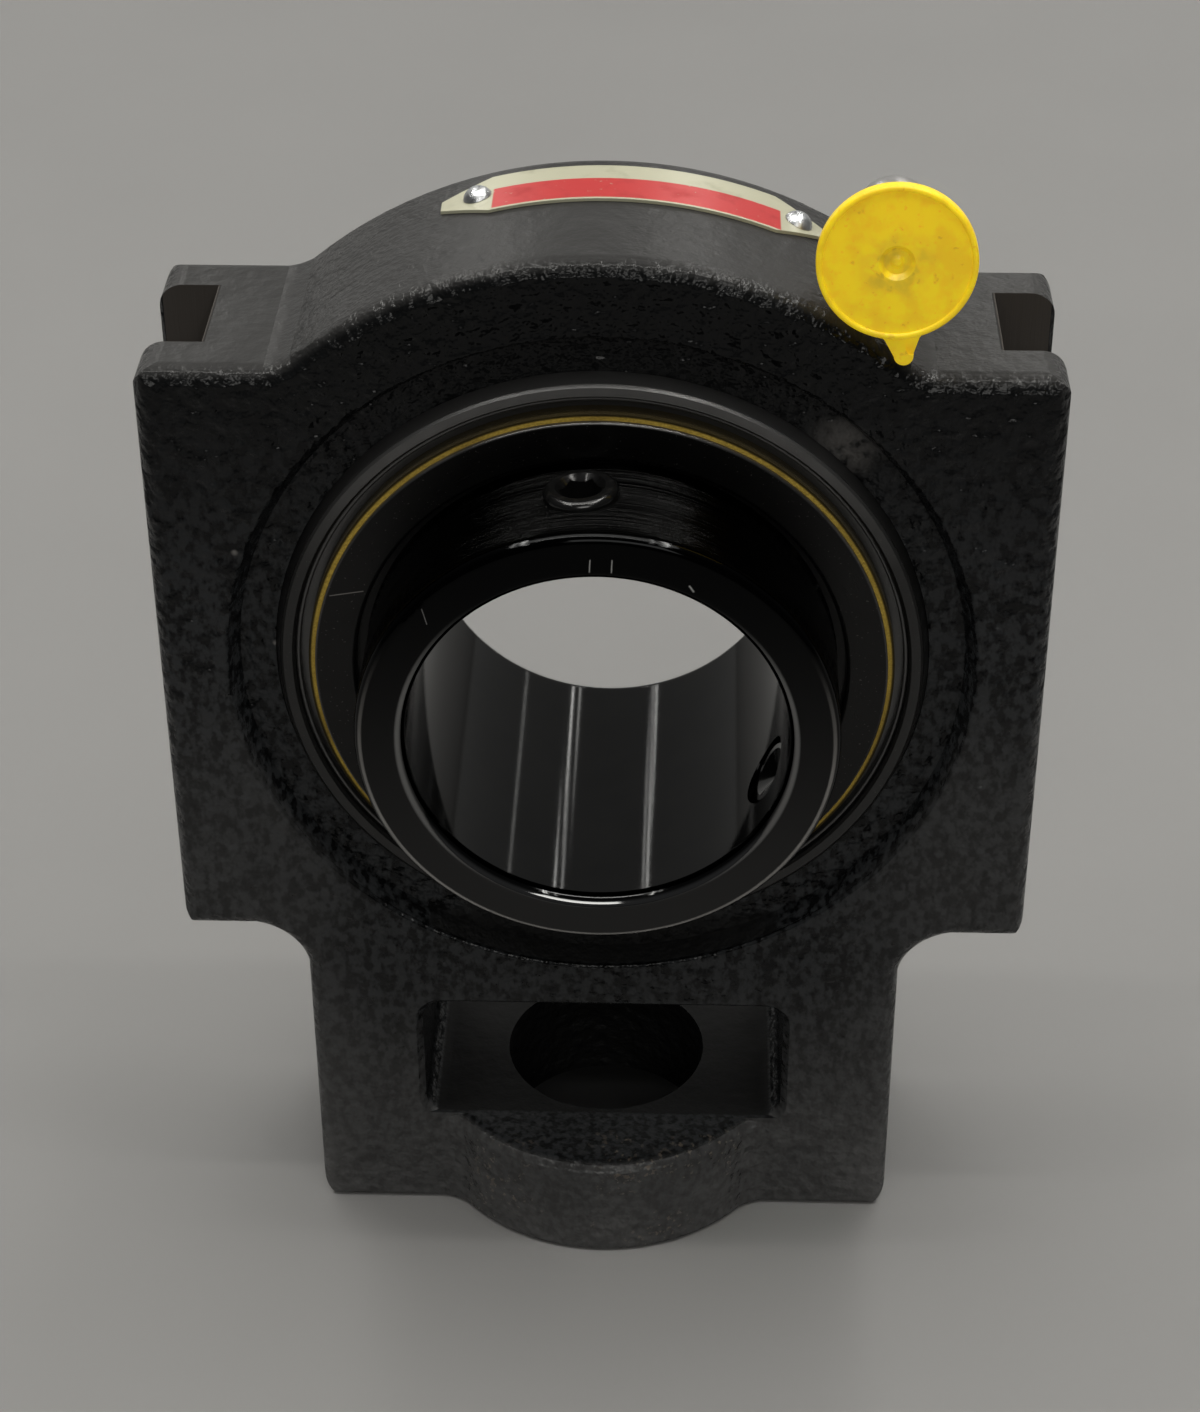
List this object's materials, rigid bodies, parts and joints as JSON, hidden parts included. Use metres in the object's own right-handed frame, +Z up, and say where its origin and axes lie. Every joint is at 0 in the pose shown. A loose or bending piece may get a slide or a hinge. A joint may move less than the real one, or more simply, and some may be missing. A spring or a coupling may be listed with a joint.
{
  "type": "take-up bearing unit",
  "caption": "Cast take-up housing with side guide slots and a screw pocket, carrying a self-aligning ball bearing with a set-screw collar and a capped grease fitting.",
  "frame": {"origin": "centre of the bearing, on the bore's axis and in the middle of the outer ring", "axes": "+Y along the bore, away from the set-screw collar; +Z up, away from the foot and the take-up screw; +X to the right seen from the collar side"},
  "size_m": [0.1172, 0.0594, 0.1638],
  "materials": {
    "housing_paint": "glossy black paint over cast iron",
    "nameplate": "printed sheet",
    "rivet_steel": "zinc plated",
    "fitting_steel": "dull zinc plated",
    "spring_steel": "bright wire",
    "ball_steel": "polished",
    "cap_plastic": "moulded yellow",
    "pin_steel": "ground",
    "ring_oxide": "black oxide, satin",
    "shield_oxide": "black oxide, stamped",
    "collar_oxide": "black oxide, ground",
    "flinger_oxide": "black oxide, stamped",
    "felt": "oiled felt",
    "screw_oxide": "black oxide",
    "cage_brass": "machined"
  },
  "bodies": {
    "housing": {"housing": "housing_paint", "nameplate": "nameplate", "plate_rivets": "rivet_steel", "grease_fitting": "fitting_steel", "fitting_spring": "spring_steel"},
    "lock_pin": {"lock_pin": "pin_steel"},
    "outer_ring": {"outer_ring": "ring_oxide", "front_shield": "shield_oxide", "rear_shield": "shield_oxide"},
    "inner_ring": {"inner_ring": "collar_oxide", "front_flinger": "flinger_oxide", "rear_flinger": "flinger_oxide", "front_felt": "felt", "rear_felt": "felt"},
    "set_screw_1": {"set_screw_1": "screw_oxide"},
    "set_screw_2": {"set_screw_2": "screw_oxide"},
    "cage": {"cage": "cage_brass"},
    "fitting_ball": {"fitting_ball": "ball_steel"},
    "fitting_cap": {"fitting_cap": "cap_plastic"},
    "ball_01": {"ball_01": "ball_steel"},
    "ball_02": {"ball_02": "ball_steel"},
    "ball_03": {"ball_03": "ball_steel"},
    "ball_04": {"ball_04": "ball_steel"},
    "ball_05": {"ball_05": "ball_steel"},
    "ball_06": {"ball_06": "ball_steel"},
    "ball_07": {"ball_07": "ball_steel"},
    "ball_08": {"ball_08": "ball_steel"},
    "ball_09": {"ball_09": "ball_steel"},
    "ball_10": {"ball_10": "ball_steel"}
  },
  "joints": [
    {"name": "align_tilt", "type": "hinge", "parent": "housing", "child": "lock_pin", "pos_m": [0, 0, 0], "axis": [1, 0, 0], "range_deg": [-2, 2]},
    {"name": "align_swivel", "type": "hinge", "parent": "lock_pin", "child": "outer_ring", "pos_m": [0, 0, 0], "axis": [0, 0, 1], "range_deg": [-2, 2]},
    {"name": "shaft_spin", "type": "hinge", "parent": "outer_ring", "child": "inner_ring", "pos_m": [0, 0, 0], "axis": [0, 1, 0], "continuous": true},
    {"name": "cage_spin", "type": "hinge", "parent": "outer_ring", "child": "cage", "pos_m": [0, 0, 0], "axis": [0, 1, 0], "continuous": true},
    {"name": "ball_01_spin", "type": "hinge", "parent": "cage", "child": "ball_01", "pos_m": [-0.01082, 0, 0.03329], "axis": [0, 1, 0], "continuous": true},
    {"name": "ball_02_spin", "type": "hinge", "parent": "cage", "child": "ball_02", "pos_m": [-0.02832, 0, 0.02057], "axis": [0, 1, 0], "continuous": true},
    {"name": "ball_03_spin", "type": "hinge", "parent": "cage", "child": "ball_03", "pos_m": [-0.035, 0, 0], "axis": [0, 1, 0], "continuous": true},
    {"name": "ball_04_spin", "type": "hinge", "parent": "cage", "child": "ball_04", "pos_m": [-0.02832, 0, -0.02057], "axis": [0, 1, 0], "continuous": true},
    {"name": "ball_05_spin", "type": "hinge", "parent": "cage", "child": "ball_05", "pos_m": [-0.01082, 0, -0.03329], "axis": [0, 1, 0], "continuous": true},
    {"name": "ball_06_spin", "type": "hinge", "parent": "cage", "child": "ball_06", "pos_m": [0.01082, 0, -0.03329], "axis": [0, 1, 0], "continuous": true},
    {"name": "ball_07_spin", "type": "hinge", "parent": "cage", "child": "ball_07", "pos_m": [0.02832, 0, -0.02057], "axis": [0, 1, 0], "continuous": true},
    {"name": "ball_08_spin", "type": "hinge", "parent": "cage", "child": "ball_08", "pos_m": [0.035, 0, 0], "axis": [0, 1, 0], "continuous": true},
    {"name": "ball_09_spin", "type": "hinge", "parent": "cage", "child": "ball_09", "pos_m": [0.02832, 0, 0.02057], "axis": [0, 1, 0], "continuous": true},
    {"name": "ball_10_spin", "type": "hinge", "parent": "cage", "child": "ball_10", "pos_m": [0.01082, 0, 0.03329], "axis": [0, 1, 0], "continuous": true},
    {"name": "set_screw_1_travel", "type": "slide", "parent": "inner_ring", "child": "set_screw_1", "axis": [-0.0698, 0, 0.9976], "range_m": [-0.0005, 0.003]},
    {"name": "set_screw_2_travel", "type": "slide", "parent": "inner_ring", "child": "set_screw_2", "axis": [0.8988, 0, -0.4384], "range_m": [-0.0005, 0.003]},
    {"name": "check_ball_lift", "type": "slide", "parent": "housing", "child": "fitting_ball", "axis": [0.0295, 0.9954, -0.0906], "range_m": [0, 0.0008], "stiffness_N_per_m": 300, "springref_m": -0.001, "deforming": ["fitting_spring"]},
    {"name": "cap_pull", "type": "slide", "parent": "housing", "child": "fitting_cap", "axis": [-0.0295, -0.9954, 0.0906], "range_m": [0, 0.012]}
  ],
  "couplings": [
    {"joint": "cage_spin", "follows": "shaft_spin", "ratio": 0.40934},
    {"joint": "ball_01_spin", "follows": "shaft_spin", "ratio": -2.6668},
    {"joint": "ball_02_spin", "follows": "shaft_spin", "ratio": -2.6668},
    {"joint": "ball_03_spin", "follows": "shaft_spin", "ratio": -2.6668},
    {"joint": "ball_04_spin", "follows": "shaft_spin", "ratio": -2.6668},
    {"joint": "ball_05_spin", "follows": "shaft_spin", "ratio": -2.6668},
    {"joint": "ball_06_spin", "follows": "shaft_spin", "ratio": -2.6668},
    {"joint": "ball_07_spin", "follows": "shaft_spin", "ratio": -2.6668},
    {"joint": "ball_08_spin", "follows": "shaft_spin", "ratio": -2.6668},
    {"joint": "ball_09_spin", "follows": "shaft_spin", "ratio": -2.6668},
    {"joint": "ball_10_spin", "follows": "shaft_spin", "ratio": -2.6668}
  ]
}
